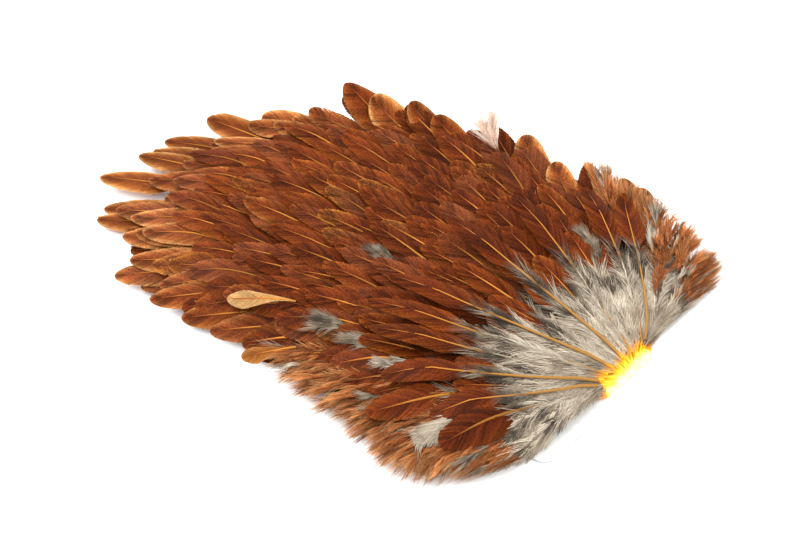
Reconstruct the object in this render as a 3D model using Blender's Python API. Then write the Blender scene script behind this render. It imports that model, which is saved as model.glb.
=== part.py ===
"""Hen saddle hackle on its backing card, at real size.

A dried hide is cut square across the front. Its feathers fan out from that cut end, lie over each
other in courses like shingles, and run on past the hide to the outline of the tail.

Metres, +Z up. The card's underside is z = 0, and the origin is on it, under the middle of the
feathers. +Y runs from the cut end of the hide to the tail tips.

A place among the feathers is given by u, which growth line of the fan it lies on, from -1 at the
left front corner to 1 at the right one, and by its distance along that line from the cut end.
"""

import bisect
import functools
import math
import random

import bmesh
import bpy
from mathutils import Vector
from mathutils.geometry import interpolate_bezier

MM = 0.001

# Backing card
CARD_WIDTH = 98 * MM
CARD_LENGTH = 126 * MM
CARD_THICKNESS = 0.8 * MM
CARD_FRONT = Vector((7, -90)) * MM
CARD_CORNER = 4 * MM
CARD_CORNER_STEPS = 4

# Hide
HIDE_CUT = Vector((3, -87)) * MM
HIDE_CUT_HALF = 19 * MM
HIDE_THICKNESS = 1.1 * MM
HIDE_SHORT_OF_TIPS = 42 * MM
HIDE_LEAST_REACH = 11 * MM
HIDE_RIPPLE = 1.4 * MM
HIDE_SIDE_POINTS = 36

# Feather courses. A course is one ring of feathers about the cut end.
ROOT_HALF = 15 * MM
ROOT_SET_BACK = 3 * MM
FIRST_ROOT = 4 * MM
FEATHER_LENGTH = 46 * MM
COURSE_STEP = 12.5 * MM
COURSES = 12
FRONT_PITCH = 14.5 * MM
FEATHER_PITCH = 9 * MM
TIP_SCATTER = 2 * MM

# One feather's blade. It is widest as far as TAPER_FROM of its length, then rounds to its tip.
BLADE_THICKNESS = 1.0 * MM
BLADE_HALF_WIDTH = 5.6 * MM
BLADE_CAMBER = 0.5 * MM
TAPER_FROM = 0.55
TAPER_POWER = 2.2
BEFORE_TIP = 2.8 * MM
LEAST_TIP_RUN = 6 * MM
SINGLE_WIDTH_SHARE = 0.86
COURSE_WIDTH_SHARE = 0.94

# How the pile of feathers sits: on the hide, down past it, and up at the right edge
TOUCH_GAP = 0.35 * MM
LAYER_STEP = 2.5 * MM
LAYER_SOFTNESS = 0.5
SPARE_LAYERS = 0.5
DROP_PAST_HIDE = 4 * MM
HIDE_DROP_RUN = 24 * MM
RIGHT_LIFT = 10 * MM
RIGHT_LIFT_RUN = 40 * MM
RIGHT_LIFT_FROM = (0.2, 0.42)
RIGHT_LIFT_TO = (0.75, 1.1)

# The fan of growth lines. Each row is one line: its u, where it ends, in millimetres, and its
# headings at the hide and at its end, in degrees from +Y towards +X. The first row and the last
# are past the corners: only the outer edges of the corner feathers reach towards them.
FAN = (
    (-1.15, -58, -93, -106, -110),
    (-1.00, -65, -79, -93, -95),
    (-0.80, -76, -60, -76, -84),
    (-0.60, -70, -26, -56, -58),
    (-0.40, -66, 14, -38, -48),
    (-0.20, -67, 56, -22, -44),
    (0.00, -42, 94, -8, -31),
    (0.20, -4, 98, 7, -26),
    (0.40, 33, 75, 21, -18),
    (0.60, 62, 32, 36, 14),
    (0.75, 69, -8, 47, 34),
    (0.90, 70, -46, 62, 64),
    (1.00, 61, -78, 83, 93),
    (1.15, 50, -96, 98, 108),
)
BEND_SHARE = 0.36
LINE_SAMPLES = 33
LINES_ACROSS = 241
FAN_STEP = 0.01

# Feathers that lie loose on the others: name, u, distance of the tip, length and finish. Each row
# of one is a share of its length and half its width there.
LOOSE_FEATHERS = (
    ("pale_feather", -0.31, 119 * MM, 24 * MM, "pale"),
    ("buff_feather", -0.443, 112 * MM, 24 * MM, "buff"),
    ("white_feather", 0.605, 117 * MM, 24 * MM, "pale"),
)
LOOSE_ROWS = ((0.0, 0.6 * MM), (0.3, 2.6 * MM), (0.65, 3.6 * MM), (0.9, 2.2 * MM))

SRGB = {
    "card": "F2F1EC",
    "hide": "D9A441",
    "front": "8C7A68",
    "saddle": "8A4622",
    "tail": "A3602F",
    "pale": "D9AE74",
    "buff": "BE7C3C",
}
ROUGHNESS = {"card": 0.8, "hide": 0.55}
FEATHER_ROUGHNESS = 0.62
GAMMA = 2.2


def smoothstep(value):
    """0 up to 0, 1 from 1, and a smooth rise between them."""
    share = min(1.0, max(0.0, value))
    return share * share * (3 - 2 * share)


def fan_values(u):
    """The fan's columns at u, on a smooth curve through the rows of FAN."""
    keys = [row[0] for row in FAN]
    right = min(max(bisect.bisect_right(keys, u), 1), len(FAN) - 1)
    rows = [FAN[min(max(right + step, 0), len(FAN) - 1)] for step in (-2, -1, 0, 1)]
    span = rows[2][0] - rows[1][0]
    share = (u - rows[1][0]) / span
    values = []
    for column in range(1, len(FAN[0])):
        before, here, there, after = (row[column] for row in rows)
        leaving = span * (there - before) / max(rows[2][0] - rows[0][0], span)
        arriving = span * (after - here) / max(rows[3][0] - rows[1][0], span)
        values.append(
            (2 * share**3 - 3 * share**2 + 1) * here
            + (share**3 - 2 * share**2 + share) * leaving
            + (3 * share**2 - 2 * share**3) * there
            + (share**3 - share**2) * arriving
        )
    return values


def heading_vector(degrees):
    """The unit vector in plan that points this many degrees from +Y towards +X."""
    angle = math.radians(degrees)
    return Vector((math.sin(angle), math.cos(angle)))


class GrowthLine:
    """One line of the fan, from the cut end of the hide to the outline."""

    def __init__(self, u):
        end_x, end_y, start_heading, end_heading = fan_values(u)
        start = HIDE_CUT + Vector((ROOT_HALF * u, ROOT_SET_BACK))
        end = Vector((end_x, end_y)) * MM
        pull = BEND_SHARE * (end - start).length
        self.points = interpolate_bezier(
            start,
            start + pull * heading_vector(start_heading),
            end - pull * heading_vector(end_heading),
            end,
            LINE_SAMPLES,
        )
        self.reach = [0.0]
        for a, b in zip(self.points, self.points[1:]):
            self.reach.append(self.reach[-1] + (b - a).length)
        self.length = self.reach[-1]

    def at(self, distance):
        """The point at this distance along the line, straight on past its end."""
        i = min(max(bisect.bisect_right(self.reach, distance), 1), len(self.reach) - 1)
        share = (distance - self.reach[i - 1]) / (self.reach[i] - self.reach[i - 1])
        return self.points[i - 1].lerp(self.points[i], share)


@functools.lru_cache(maxsize=None)
def growth_line(u):
    return GrowthLine(min(FAN[-1][0], max(FAN[0][0], u)))


def spread(u, distance):
    """How far the growth lines move sideways there, for each unit of u."""
    left, right = (growth_line(u + step).at(distance) for step in (-FAN_STEP, FAN_STEP))
    return (right - left).length / (2 * FAN_STEP)


def course_root(course):
    return FIRST_ROOT + course * COURSE_STEP


def course_tip(course):
    return course_root(course) + FEATHER_LENGTH


def courses_along(u):
    """How many whole courses end along this line, and what is left over, as a fraction."""
    return (growth_line(u).length + COURSE_STEP / 2 - course_tip(0)) / COURSE_STEP


def layers_below(u, course, distance):
    """How many courses lie under this one there. It is a smooth lesser of the two counts that
    bound it, and shifting both by one shifts it by one, so courses never cross."""
    grown = (distance - course_root(course)) / COURSE_STEP
    beyond = courses_along(u) + SPARE_LAYERS - course
    gap = max(LAYER_SOFTNESS - abs(grown - beyond), 0.0) / LAYER_SOFTNESS
    return min(grown, beyond) - LAYER_SOFTNESS * gap * gap / 4


def hide_reach(u):
    """How far the hide goes along this line."""
    return max(HIDE_LEAST_REACH, growth_line(u).length - HIDE_SHORT_OF_TIPS)


def pile_base(u, distance):
    """Height of the lowest feather's upper face: on the hide, then down to the card past it,
    and raised along the right edge, where the dried hide curls up."""
    past_hide = CARD_THICKNESS + TOUCH_GAP + BLADE_THICKNESS
    on_hide = past_hide + HIDE_THICKNESS + TOUCH_GAP
    to_end = max(0.0, growth_line(u).length - distance)
    dropped = smoothstep((distance - hide_reach(u) - DROP_PAST_HIDE) / HIDE_DROP_RUN)
    rise_from, rise_to = RIGHT_LIFT_FROM
    fall_from, fall_to = RIGHT_LIFT_TO
    along_edge = smoothstep((u - rise_from) / (rise_to - rise_from))
    along_edge *= smoothstep((fall_to - u) / (fall_to - fall_from))
    curl = max(0.0, 1 - to_end / RIGHT_LIFT_RUN) ** 2
    return on_hide + (past_hide - on_hide) * dropped + RIGHT_LIFT * along_edge * curl


def blade_point(u, course, distance):
    """A point of the upper face of this course's feathers."""
    height = pile_base(u, distance) + LAYER_STEP * layers_below(u, course, distance)
    return Vector((*growth_line(u).at(distance), height))


def above_pile(u, distance):
    """A point of the upper face of a blade that lies on every feather there. The course whose
    tips reach just that far, as a fraction, is the uppermost."""
    uppermost = max(0.0, (distance - TIP_SCATTER - course_tip(0)) / COURSE_STEP)
    point = blade_point(u, uppermost, distance)
    point.z += BLADE_CAMBER + TOUCH_GAP + BLADE_THICKNESS
    return point


def scatter(u, course):
    """A repeatable number from -1 to 1, different for each feather."""
    return random.Random(f"{u:.4f} {course}").uniform(-1, 1)


def tip_distance(u, course):
    """Where this feather ends: at its course's ring, or at the outline if it is the last."""
    is_last = course + 1 > courses_along(u)
    ring = growth_line(u).length if is_last else course_tip(course)
    return ring + TIP_SCATTER * scatter(u, course)


def course_places(course):
    """The u of each of this course's feathers, an even pitch apart at mid feather. The front
    course goes all the way across, and the others as far as the lines are long enough."""
    middle = course_root(course) + FEATHER_LENGTH / 2
    every = [-1 + 2 * i / (LINES_ACROSS - 1) for i in range(LINES_ACROSS)]
    reached = [u for u in every if course == 0 or courses_along(u) >= course]
    points = [growth_line(u).at(middle) for u in reached]
    walked = [0.0]
    for a, b in zip(points, points[1:]):
        walked.append(walked[-1] + (b - a).length)
    pitch = FEATHER_PITCH if course else FRONT_PITCH
    gaps = round(walked[-1] / pitch)
    stops = [walked[-1] * (i / gaps) for i in range(gaps + 1)]
    return [reached[bisect.bisect_left(walked, stop)] for stop in stops]


def seams(places):
    """The u of the seams between neighbouring feathers, and of the outer edges of the end ones."""
    between = [(a + b) / 2 for a, b in zip(places, places[1:])]
    return [2 * places[0] - between[0], *between, 2 * places[-1] - between[-1]]


def half_width(share):
    """Half a feather's width at this share of its length."""
    past = max(0.0, (share - TAPER_FROM) / (1 - TAPER_FROM))
    return BLADE_HALF_WIDTH * math.sqrt(max(0.0, 1 - past**TAPER_POWER))


def add_row(bm, point_at, edges_and_shaft):
    """The left edge, shaft and right edge of a feather at one station."""
    row = [bm.verts.new(point_at(u)) for u in edges_and_shaft]
    row[1].co.z += BLADE_CAMBER
    return row


def join_rows(bm, rows):
    for near, far in zip(rows, rows[1:]):
        for a, b, c, d in zip(near, near[1:], far[1:], far):
            bm.faces.new((a, b, c, d))


def close_tip(bm, row, tip_point):
    tip = bm.verts.new(tip_point)
    for a, b in zip(row, row[1:]):
        bm.faces.new((a, b, tip))


def feather_row(bm, u, limits, course, distance, width_share):
    """A free row of a feather, no wider than its neighbours allow."""
    root, tip = course_root(course), tip_distance(u, course)
    free = half_width((distance - root) / (tip - root)) / spread(u, distance)
    half = min(free, width_share * min(u - limits[0], limits[1] - u))
    return add_row(bm, lambda v: blade_point(v, course, distance), (u - half, u, u + half))


def free_distances(u, course):
    """The rows past the joined web. They fall where the next course has its own, as far as the
    feather's length allows, so that the two stay parallel."""
    root, tip = course_root(course), tip_distance(u, course)
    last_shared = min(root + 3 * COURSE_STEP, tip - LEAST_TIP_RUN)
    return (root + 2 * COURSE_STEP, last_shared, tip - BEFORE_TIP)


def course_sheet(course, places):
    """One course as a sheet: webs joined side by side at the root, tips free."""
    bm = bmesh.new()
    bounds = seams(places)
    joined = []
    for distance in (course_root(course), course_root(course) + COURSE_STEP):
        row = [bm.verts.new(blade_point(bounds[0], course, distance))]
        for u, seam in zip(places, bounds[1:]):
            shaft = bm.verts.new(blade_point(u, course, distance))
            shaft.co.z += BLADE_CAMBER
            row += [shaft, bm.verts.new(blade_point(seam, course, distance))]
        joined.append(row)
    join_rows(bm, joined)
    for i, u in enumerate(places):
        rows = [joined[-1][2 * i : 2 * i + 3]]
        for distance in free_distances(u, course):
            limits = bounds[i : i + 2]
            rows.append(feather_row(bm, u, limits, course, distance, COURSE_WIDTH_SHARE))
        join_rows(bm, rows)
        close_tip(bm, rows[-1], blade_point(u, course, tip_distance(u, course)))
    return bm


def single_sheet(course, u, limits):
    """One feather on its own, from its root to its tip."""
    bm = bmesh.new()
    root = course_root(course)
    rows = []
    for distance in (root, root + COURSE_STEP, *free_distances(u, course)):
        rows.append(feather_row(bm, u, limits, course, distance, SINGLE_WIDTH_SHARE))
    join_rows(bm, rows)
    close_tip(bm, rows[-1], blade_point(u, course, tip_distance(u, course)))
    return bm


def loose_sheet(u, tip, length):
    """A stray feather that lies on top of the others."""
    bm = bmesh.new()
    rows = []
    for share, half in LOOSE_ROWS:
        distance = tip - length * (1 - share)
        shift = half / spread(u, distance)
        rows.append(add_row(bm, lambda v: above_pile(v, distance), (u - shift, u, u + shift)))
    join_rows(bm, rows)
    close_tip(bm, rows[-1], above_pile(u, tip))
    return bm


def finish_material(finish):
    """A plain finish in the colour that this sort of piece has."""
    found = bpy.data.materials.get(finish)
    if found:
        return found
    found = bpy.data.materials.new(finish)
    found.use_nodes = True
    shader = found.node_tree.nodes["Principled BSDF"]
    channels = [int(SRGB[finish][i : i + 2], 16) / 255 for i in (0, 2, 4)]
    shader.inputs["Base Color"].default_value = (*(value**GAMMA for value in channels), 1)
    shader.inputs["Roughness"].default_value = ROUGHNESS.get(finish, FEATHER_ROUGHNESS)
    return found


def add_object(name, bm, finish):
    mesh = bpy.data.meshes.new(name)
    bm.to_mesh(mesh)
    bm.free()
    mesh.materials.append(finish_material(finish))
    placed = bpy.data.objects.new(name, mesh)
    bpy.context.scene.collection.objects.link(placed)
    return placed


def add_blade(name, bm, finish):
    """A feather sheet, given its thickness downwards."""
    blade = add_object(name, bm, finish)
    shell = blade.modifiers.new("thickness", "SOLIDIFY")
    shell.thickness = BLADE_THICKNESS
    shell.offset = -1


def plate(outline, low, thickness):
    """A flat plate with this outline, from height low up."""
    bm = bmesh.new()
    face = bm.faces.new([bm.verts.new((*point, low)) for point in outline])
    grown = bmesh.ops.extrude_face_region(bm, geom=[face])["geom"]
    top = [item for item in grown if isinstance(item, bmesh.types.BMVert)]
    bmesh.ops.translate(bm, verts=top, vec=(0, 0, thickness))
    bmesh.ops.recalc_face_normals(bm, faces=bm.faces)
    return bm


def card_outline():
    """The card's rectangle with its corners rounded."""
    half = Vector((CARD_WIDTH, CARD_LENGTH)) / 2
    centre = CARD_FRONT + Vector((0, half.y))
    points = []
    for quarter, (x, y) in enumerate(((1, 1), (-1, 1), (-1, -1), (1, -1))):
        corner = centre + Vector((x * (half.x - CARD_CORNER), y * (half.y - CARD_CORNER)))
        for step in range(CARD_CORNER_STEPS + 1):
            angle = (quarter + step / CARD_CORNER_STEPS) * math.pi / 2
            points.append(corner + CARD_CORNER * Vector((math.cos(angle), math.sin(angle))))
    return points


def hide_outline():
    """The cut front edge, then the sides and the back, which end short of the feather tips."""
    points = []
    for i in range(HIDE_SIDE_POINTS):
        u = -1 + 2 * i / (HIDE_SIDE_POINTS - 1)
        points.append(growth_line(u).at(hide_reach(u) + HIDE_RIPPLE * scatter(u, COURSES)))
    for side in (1, -1):
        points.append(HIDE_CUT + Vector((side * HIDE_CUT_HALF, 0)))
    return points


def add_course(course):
    """The front and the tail feathers are pieces of their own, the other courses one each."""
    places = course_places(course)
    if 0 < course < COURSES - 1:
        add_blade(f"feather_course_{course:02d}", course_sheet(course, places), "saddle")
        return
    part = "tail" if course else "front"
    bounds = seams(places)
    for i, u in enumerate(places):
        add_blade(f"{part}_feather_{i + 1:02d}", single_sheet(course, u, bounds[i : i + 2]), part)


def build():
    for old in list(bpy.data.objects):
        bpy.data.objects.remove(old)
    add_object("backing_card", plate(card_outline(), 0.0, CARD_THICKNESS), "card")
    add_object("hide", plate(hide_outline(), CARD_THICKNESS + TOUCH_GAP, HIDE_THICKNESS), "hide")
    for course in range(COURSES):
        add_course(course)
    for name, u, tip, length, finish in LOOSE_FEATHERS:
        add_blade(name, loose_sheet(u, tip, length), finish)


build()
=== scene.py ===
"""Looks of the hen saddle hackle.

Metres, +Z up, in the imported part's frame. A place among the feathers is given as in the part's
source: u is the growth line of the fan, from -1 at the left front corner to 1 at the right one,
and the distance is measured along that line from the cut end of the hide.
"""

import math
import random

import bmesh
import bpy
import numpy as np
from mathutils import Matrix, Vector


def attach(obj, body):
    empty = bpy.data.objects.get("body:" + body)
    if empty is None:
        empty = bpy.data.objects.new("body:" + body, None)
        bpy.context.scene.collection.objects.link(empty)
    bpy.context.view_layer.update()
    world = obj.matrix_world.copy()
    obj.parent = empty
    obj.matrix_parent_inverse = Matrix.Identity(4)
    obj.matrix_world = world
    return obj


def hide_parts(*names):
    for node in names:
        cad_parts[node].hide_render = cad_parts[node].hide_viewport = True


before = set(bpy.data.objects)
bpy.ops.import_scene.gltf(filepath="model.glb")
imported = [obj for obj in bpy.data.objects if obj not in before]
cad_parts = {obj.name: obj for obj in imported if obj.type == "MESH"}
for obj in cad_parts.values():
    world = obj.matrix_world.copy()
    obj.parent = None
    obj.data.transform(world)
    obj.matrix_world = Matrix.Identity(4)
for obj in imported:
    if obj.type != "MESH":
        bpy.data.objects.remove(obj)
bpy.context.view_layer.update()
MM = 0.001

# ---- Camera ----
# A long lens looks down at the card from the side of the left front corner, as in the photograph.

CAMERA_AZIMUTH = math.radians(-50)
CAMERA_ELEVATION = math.radians(40)
CAMERA_DISTANCE = 740 * MM
CAMERA_LENS = 105

camera = bpy.data.objects.new("camera", bpy.data.cameras.new("camera"))
camera.data.lens = CAMERA_LENS
camera.data.clip_start = 0.01
back = Vector(
    (
        math.sin(CAMERA_AZIMUTH) * math.cos(CAMERA_ELEVATION),
        -math.cos(CAMERA_AZIMUTH) * math.cos(CAMERA_ELEVATION),
        math.sin(CAMERA_ELEVATION),
    )
)
camera.location = back * CAMERA_DISTANCE
camera.rotation_euler = (-back).to_track_quat("-Z", "Y").to_euler()
bpy.context.scene.collection.objects.link(camera)
bpy.context.scene.camera = camera

# ---- Studio ----
# A white sweep lit so evenly that it loses its edges, with one large soft light behind, which
# shines through the thin feather tips, and two weaker ones from the left and the front.

WHITE_SWEEP = "FFFFFF"
SWEEP_SIZE = 3.0
SKY_STRENGTH = 1.38
# Name, place, size (m), watts. Each light looks at the middle of the feathers.
LIGHTS = (
    ("key", (-0.05, 0.85, 0.80), 0.7, 11.5),
    ("fill", (-0.60, -0.05, 0.90), 0.8, 6.0),
    ("front", (-0.25, -0.95, 0.60), 0.9, 5.5),
)


def srgb(code):
    """A colour of six hex digits, turned to linear."""
    channels = [int(code[i : i + 2], 16) / 255 for i in (0, 2, 4)]
    linear = [c / 12.92 if c <= 0.04045 else ((c + 0.055) / 1.055) ** 2.4 for c in channels]
    return (*linear, 1.0)


def add_node(tree, kind, inputs=(), stops=(), **settings):
    """Adds a shader node. Each input is a value or a socket to link from, and stops are the
    places and hex colours of a colour ramp."""
    node = tree.nodes.new(kind)
    for name, value in settings.items():
        setattr(node, name, value)
    for name, value in dict(inputs).items():
        if isinstance(value, bpy.types.NodeSocket):
            tree.links.new(value, node.inputs[name])
        else:
            node.inputs[name].default_value = value
    for i, (place, colour) in enumerate(stops):
        elements = node.color_ramp.elements
        element = elements[i] if i < len(elements) else elements.new(place)
        element.position = place
        element.color = srgb(colour)
    return node


def new_material(name):
    material = bpy.data.materials.new(name)
    material.use_nodes = True
    material.node_tree.nodes.clear()
    return material, material.node_tree


def link_surface(tree, shader):
    add_node(tree, "ShaderNodeOutputMaterial", {"Surface": shader})


# White paper sweep: matt, plain.
sweep_paper, tree = new_material("white_paper_sweep")
link_surface(
    tree,
    add_node(
        tree,
        "ShaderNodeBsdfPrincipled",
        {"Base Color": srgb(WHITE_SWEEP), "Roughness": 1.0, "Specular IOR Level": 0.0},
    ).outputs[0],
)
bm = bmesh.new()
bmesh.ops.create_grid(bm, x_segments=1, y_segments=1, size=SWEEP_SIZE / 2)
mesh = bpy.data.meshes.new("floor")
bm.to_mesh(mesh)
bm.free()
mesh.materials.append(sweep_paper)
floor = bpy.data.objects.new("floor", mesh)
bpy.context.scene.collection.objects.link(floor)

world = bpy.data.worlds.new("studio")
world.use_nodes = True
sky = world.node_tree.nodes["Background"]
sky.inputs["Color"].default_value = (1, 1, 1, 1)
sky.inputs["Strength"].default_value = SKY_STRENGTH
bpy.context.scene.world = world
bpy.context.scene.view_settings.view_transform = "Standard"

for name, place, size, watts in LIGHTS:
    light = bpy.data.objects.new(name, bpy.data.lights.new(name, "AREA"))
    light.data.shape = "DISK"
    light.data.size = size
    light.data.energy = watts
    light.location = place
    light.rotation_euler = (-Vector(place)).to_track_quat("-Z", "Y").to_euler()
    bpy.context.scene.collection.objects.link(light)

# ---- Backing card ----
# A thin white paperboard that the dried hide was fixed to, die-cut with rounded corners and clay
# coated on its face. It stays as the CAD has it.

CARD_WHITE = "F7F7F5"
CARD_FIBRE = "EDEDE9"
CARD_FIBRE_LENGTH = 1.6 * MM
# The grey of the card's sides: its core, darkened further as painted shade
CARD_CORE_AND_EDGE_SHADE = "A4A7AB"

# Coated paperboard: pressed fibres under a clay coat, so matt, with a faint mottle. Its die-cut
# edge shows the greyer core, painted darker still as shade on the card's sides.
board, tree = new_material("clay_coated_paperboard")
place = add_node(tree, "ShaderNodeTexCoord").outputs["Object"]
fibre = add_node(
    tree, "ShaderNodeTexNoise", {"Vector": place, "Scale": 1 / CARD_FIBRE_LENGTH, "Detail": 4}
)
coat = add_node(
    tree,
    "ShaderNodeValToRGB",
    {"Fac": fibre.outputs["Fac"]},
    ((0.35, CARD_FIBRE), (0.65, CARD_WHITE)),
)
facing = add_node(tree, "ShaderNodeNewGeometry").outputs["Normal"]
upward = add_node(tree, "ShaderNodeSeparateXYZ", {0: facing}).outputs["Z"]
flat = add_node(tree, "ShaderNodeMath", {0: upward}, operation="ABSOLUTE").outputs[0]
# Faces that do not face up or down get the grey of the core and the painted shade
coated = add_node(
    tree, "ShaderNodeMapRange", {"Value": flat, "From Min": 0.3, "From Max": 0.8}
).outputs["Result"]
tint = add_node(
    tree,
    "ShaderNodeMix",
    {0: coated, 6: srgb(CARD_CORE_AND_EDGE_SHADE), 7: coat.outputs["Color"]},
    data_type="RGBA",
)
bump = add_node(
    tree,
    "ShaderNodeBump",
    {"Height": fibre.outputs["Fac"], "Strength": 0.08, "Distance": 0.05 * MM},
)
link_surface(
    tree,
    add_node(
        tree,
        "ShaderNodeBsdfPrincipled",
        {
            "Base Color": tint.outputs[2],
            "Roughness": 0.6,
            "Normal": bump.outputs["Normal"],
        },
    ).outputs[0],
)
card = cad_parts["backing_card"]
card.data.materials.clear()
card.data.materials.append(board)

# ---- Hide ----
# The dried skin of the bird's back, cut square across the front, still yellow with fat there. It
# is dry and cockled, and the quills stand in its follicles. It lies on the card.

HIDE_CUT = np.array((3, -87)) * MM
HIDE_CUT_HALF = 11.5 * MM
HIDE_THICKNESS = 1.1 * MM
HIDE_TOP = 2.25 * MM
HIDE_LEAST_REACH = 11 * MM
HIDE_SHORT_OF_TIPS = 42 * MM
HIDE_COCKLE = 0.25 * MM
HIDE_ACROSS = 96
HIDE_ALONG = 40
# Colours of the skin, each with how far behind the cut it lies (mm): yellow fat, painted near-white
# at the cut as a highlight, and further back skin darkened as painted shade under the down
HIDE_FAT_HIGHLIGHT_AND_SHADE = (
    (0, "FAECB0"),
    (2.5, "F8D464"),
    (5, "FFBE1C"),
    (8, "EE980A"),
    (12, "C8781E"),
    (18, "94694A"),
    (34, "7C6858"),
)
FAT_BLOTCH = 5 * MM
HIDE_COLOUR_REACH = 40 * MM
FOLLICLE_PITCH = 2.2 * MM
# The stretch of the cut with fat on it. Past its ends the fat fades so many times as fast.
FAT_MIDDLE, FAT_HALF = 4.5 * MM, 11 * MM
FAT_SIDE_FADE = 4
FAT_BEADS = 130
FAT_DEPTH = 6 * MM

# The fan of growth lines, as in the part's source: u, end (mm), heading at the hide and at the end
# (degrees from +Y towards +X)
FAN = np.array(
    (
        (-1.15, -58, -93, -106, -110),
        (-1.00, -65, -79, -93, -95),
        (-0.80, -76, -60, -76, -84),
        (-0.60, -70, -26, -56, -58),
        (-0.40, -66, 14, -38, -48),
        (-0.20, -67, 56, -22, -44),
        (0.00, -42, 94, -8, -31),
        (0.20, -4, 98, 7, -26),
        (0.40, 33, 75, 21, -18),
        (0.60, 62, 32, 36, 14),
        (0.75, 69, -8, 47, 34),
        (0.90, 70, -46, 62, 64),
        (1.00, 61, -78, 83, 93),
        (1.15, 50, -96, 98, 108),
    )
)
ROOT_HALF = 15 * MM
ROOT_SET_BACK = 3 * MM
BEND_SHARE = 0.36
FAN_LINES = 461
FAN_DISTANCES = 240
FAN_SPACING = 1 * MM
LINE_SAMPLES = 33


def fan_rows(u):
    """The fan's columns at each u, on a smooth curve through the rows of FAN."""
    last = len(FAN) - 1
    right = np.clip(np.searchsorted(FAN[:, 0], u, side="right"), 1, last)
    before, here, there, after = (FAN[np.clip(right + k, 0, last)] for k in (-2, -1, 0, 1))
    span = there[:, :1] - here[:, :1]
    share = (u[:, None] - here[:, :1]) / span
    leaving = span * (there - before) / np.maximum(there[:, :1] - before[:, :1], span)
    arriving = span * (after - here) / np.maximum(after[:, :1] - here[:, :1], span)
    return (
        (2 * share**3 - 3 * share**2 + 1) * here
        + (share**3 - 2 * share**2 + share) * leaving
        + (3 * share**2 - 2 * share**3) * there
        + (share**3 - share**2) * arriving
    )[:, 1:]


def heading(degrees):
    return np.stack((np.sin(np.radians(degrees)), np.cos(np.radians(degrees))), -1)


def fan_table():
    """Points of the growth lines at even distances, and each line's length."""
    lines = np.linspace(FAN[0, 0], FAN[-1, 0], FAN_LINES)
    rows = fan_rows(lines)
    start = HIDE_CUT + np.stack((ROOT_HALF * lines, np.full(FAN_LINES, ROOT_SET_BACK)), -1)
    end = rows[:, :2] * MM
    pull = BEND_SHARE * np.linalg.norm(end - start, axis=1, keepdims=True)
    leave = start + pull * heading(rows[:, 2])
    arrive = end - pull * heading(rows[:, 3])
    t = np.linspace(0, 1, LINE_SAMPLES)[:, None]
    distances = np.arange(FAN_DISTANCES) * FAN_SPACING
    points, lengths = [], []
    for a, b, c, d in zip(start, leave, arrive, end):
        curve = (1 - t) ** 3 * a + 3 * (1 - t) ** 2 * t * b + 3 * (1 - t) * t**2 * c + t**3 * d
        steps = np.linalg.norm(np.diff(curve, axis=0), axis=1)
        reach = np.concatenate(([0], np.cumsum(steps)))
        onward = (curve[-1] - curve[-2]) / steps[-1]
        past = np.maximum(distances - reach[-1], 0)[:, None] * onward
        along = np.stack([np.interp(distances, reach, curve[:, k]) for k in (0, 1)], -1)
        points.append(along + past)
        lengths.append(reach[-1])
    return np.array(points), np.array(lengths)


FAN_POINTS, LINE_LENGTHS = fan_table()


def line_index(u):
    return np.clip((u - FAN[0, 0]) / (FAN[-1, 0] - FAN[0, 0]), 0, 1) * (FAN_LINES - 1)


def line_length(u):
    return np.interp(line_index(u), np.arange(FAN_LINES), LINE_LENGTHS)


def on_fan(u, distance):
    """The place in plan at this distance along growth line u."""
    i = line_index(u)
    j = np.clip(distance / FAN_SPACING, 0, FAN_DISTANCES - 1.001)
    low_i = np.minimum(i.astype(int), FAN_LINES - 2)
    low_j = j.astype(int)
    a = (i - low_i)[..., None]
    b = (j - low_j)[..., None]
    near = FAN_POINTS[low_i, low_j] * (1 - a) + FAN_POINTS[low_i + 1, low_j] * a
    far = FAN_POINTS[low_i, low_j + 1] * (1 - a) + FAN_POINTS[low_i + 1, low_j + 1] * a
    return near * (1 - b) + far * b


def hide_reach(u):
    return np.maximum(HIDE_LEAST_REACH, line_length(u) - HIDE_SHORT_OF_TIPS)


def add_piece(name, bm, materials, slot, replaced=()):
    """Makes a piece of a bmesh. It rides on the one body and stands for these CAD nodes."""
    mesh = bpy.data.meshes.new(name)
    bm.to_mesh(mesh)
    bm.free()
    for material in materials:
        mesh.materials.append(material)
    mesh.shade_smooth()
    piece = bpy.data.objects.new(name, mesh)
    bpy.context.scene.collection.objects.link(piece)
    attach(piece, "root")
    if replaced:
        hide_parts(*replaced)
    return piece


def behind_cut(tree, nearest, farthest):
    """0 to 1 between these distances from the cut, with an uneven border."""
    place = add_node(tree, "ShaderNodeTexCoord").outputs["Object"]
    ways = add_node(tree, "ShaderNodeSeparateXYZ", {0: place}).outputs
    aside = add_node(
        tree, "ShaderNodeMath", {0: ways["X"], 1: FAT_MIDDLE}, operation="SUBTRACT"
    ).outputs[0]
    aside = add_node(tree, "ShaderNodeMath", {0: aside}, operation="ABSOLUTE").outputs[0]
    aside = add_node(
        tree, "ShaderNodeMath", {0: aside, 1: FAT_HALF}, operation="SUBTRACT"
    ).outputs[0]
    aside = add_node(tree, "ShaderNodeMath", {0: aside, 1: 0.0}, operation="MAXIMUM").outputs[0]
    behind = add_node(
        tree,
        "ShaderNodeMath",
        {0: aside, 1: FAT_SIDE_FADE, 2: ways["Y"]},
        operation="MULTIPLY_ADD",
    ).outputs[0]
    blotch = add_node(
        tree, "ShaderNodeTexNoise", {"Vector": place, "Scale": 1 / FAT_BLOTCH, "Detail": 5}
    ).outputs["Fac"]
    uneven = add_node(
        tree,
        "ShaderNodeMath",
        {0: blotch, 1: FAT_BLOTCH, 2: behind},
        operation="MULTIPLY_ADD",
    ).outputs[0]
    from_cut = HIDE_CUT[1] + FAT_BLOTCH / 2
    return add_node(
        tree,
        "ShaderNodeMapRange",
        {"Value": uneven, "From Min": from_cut + nearest, "From Max": from_cut + farthest},
    ).outputs["Result"]
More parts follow.
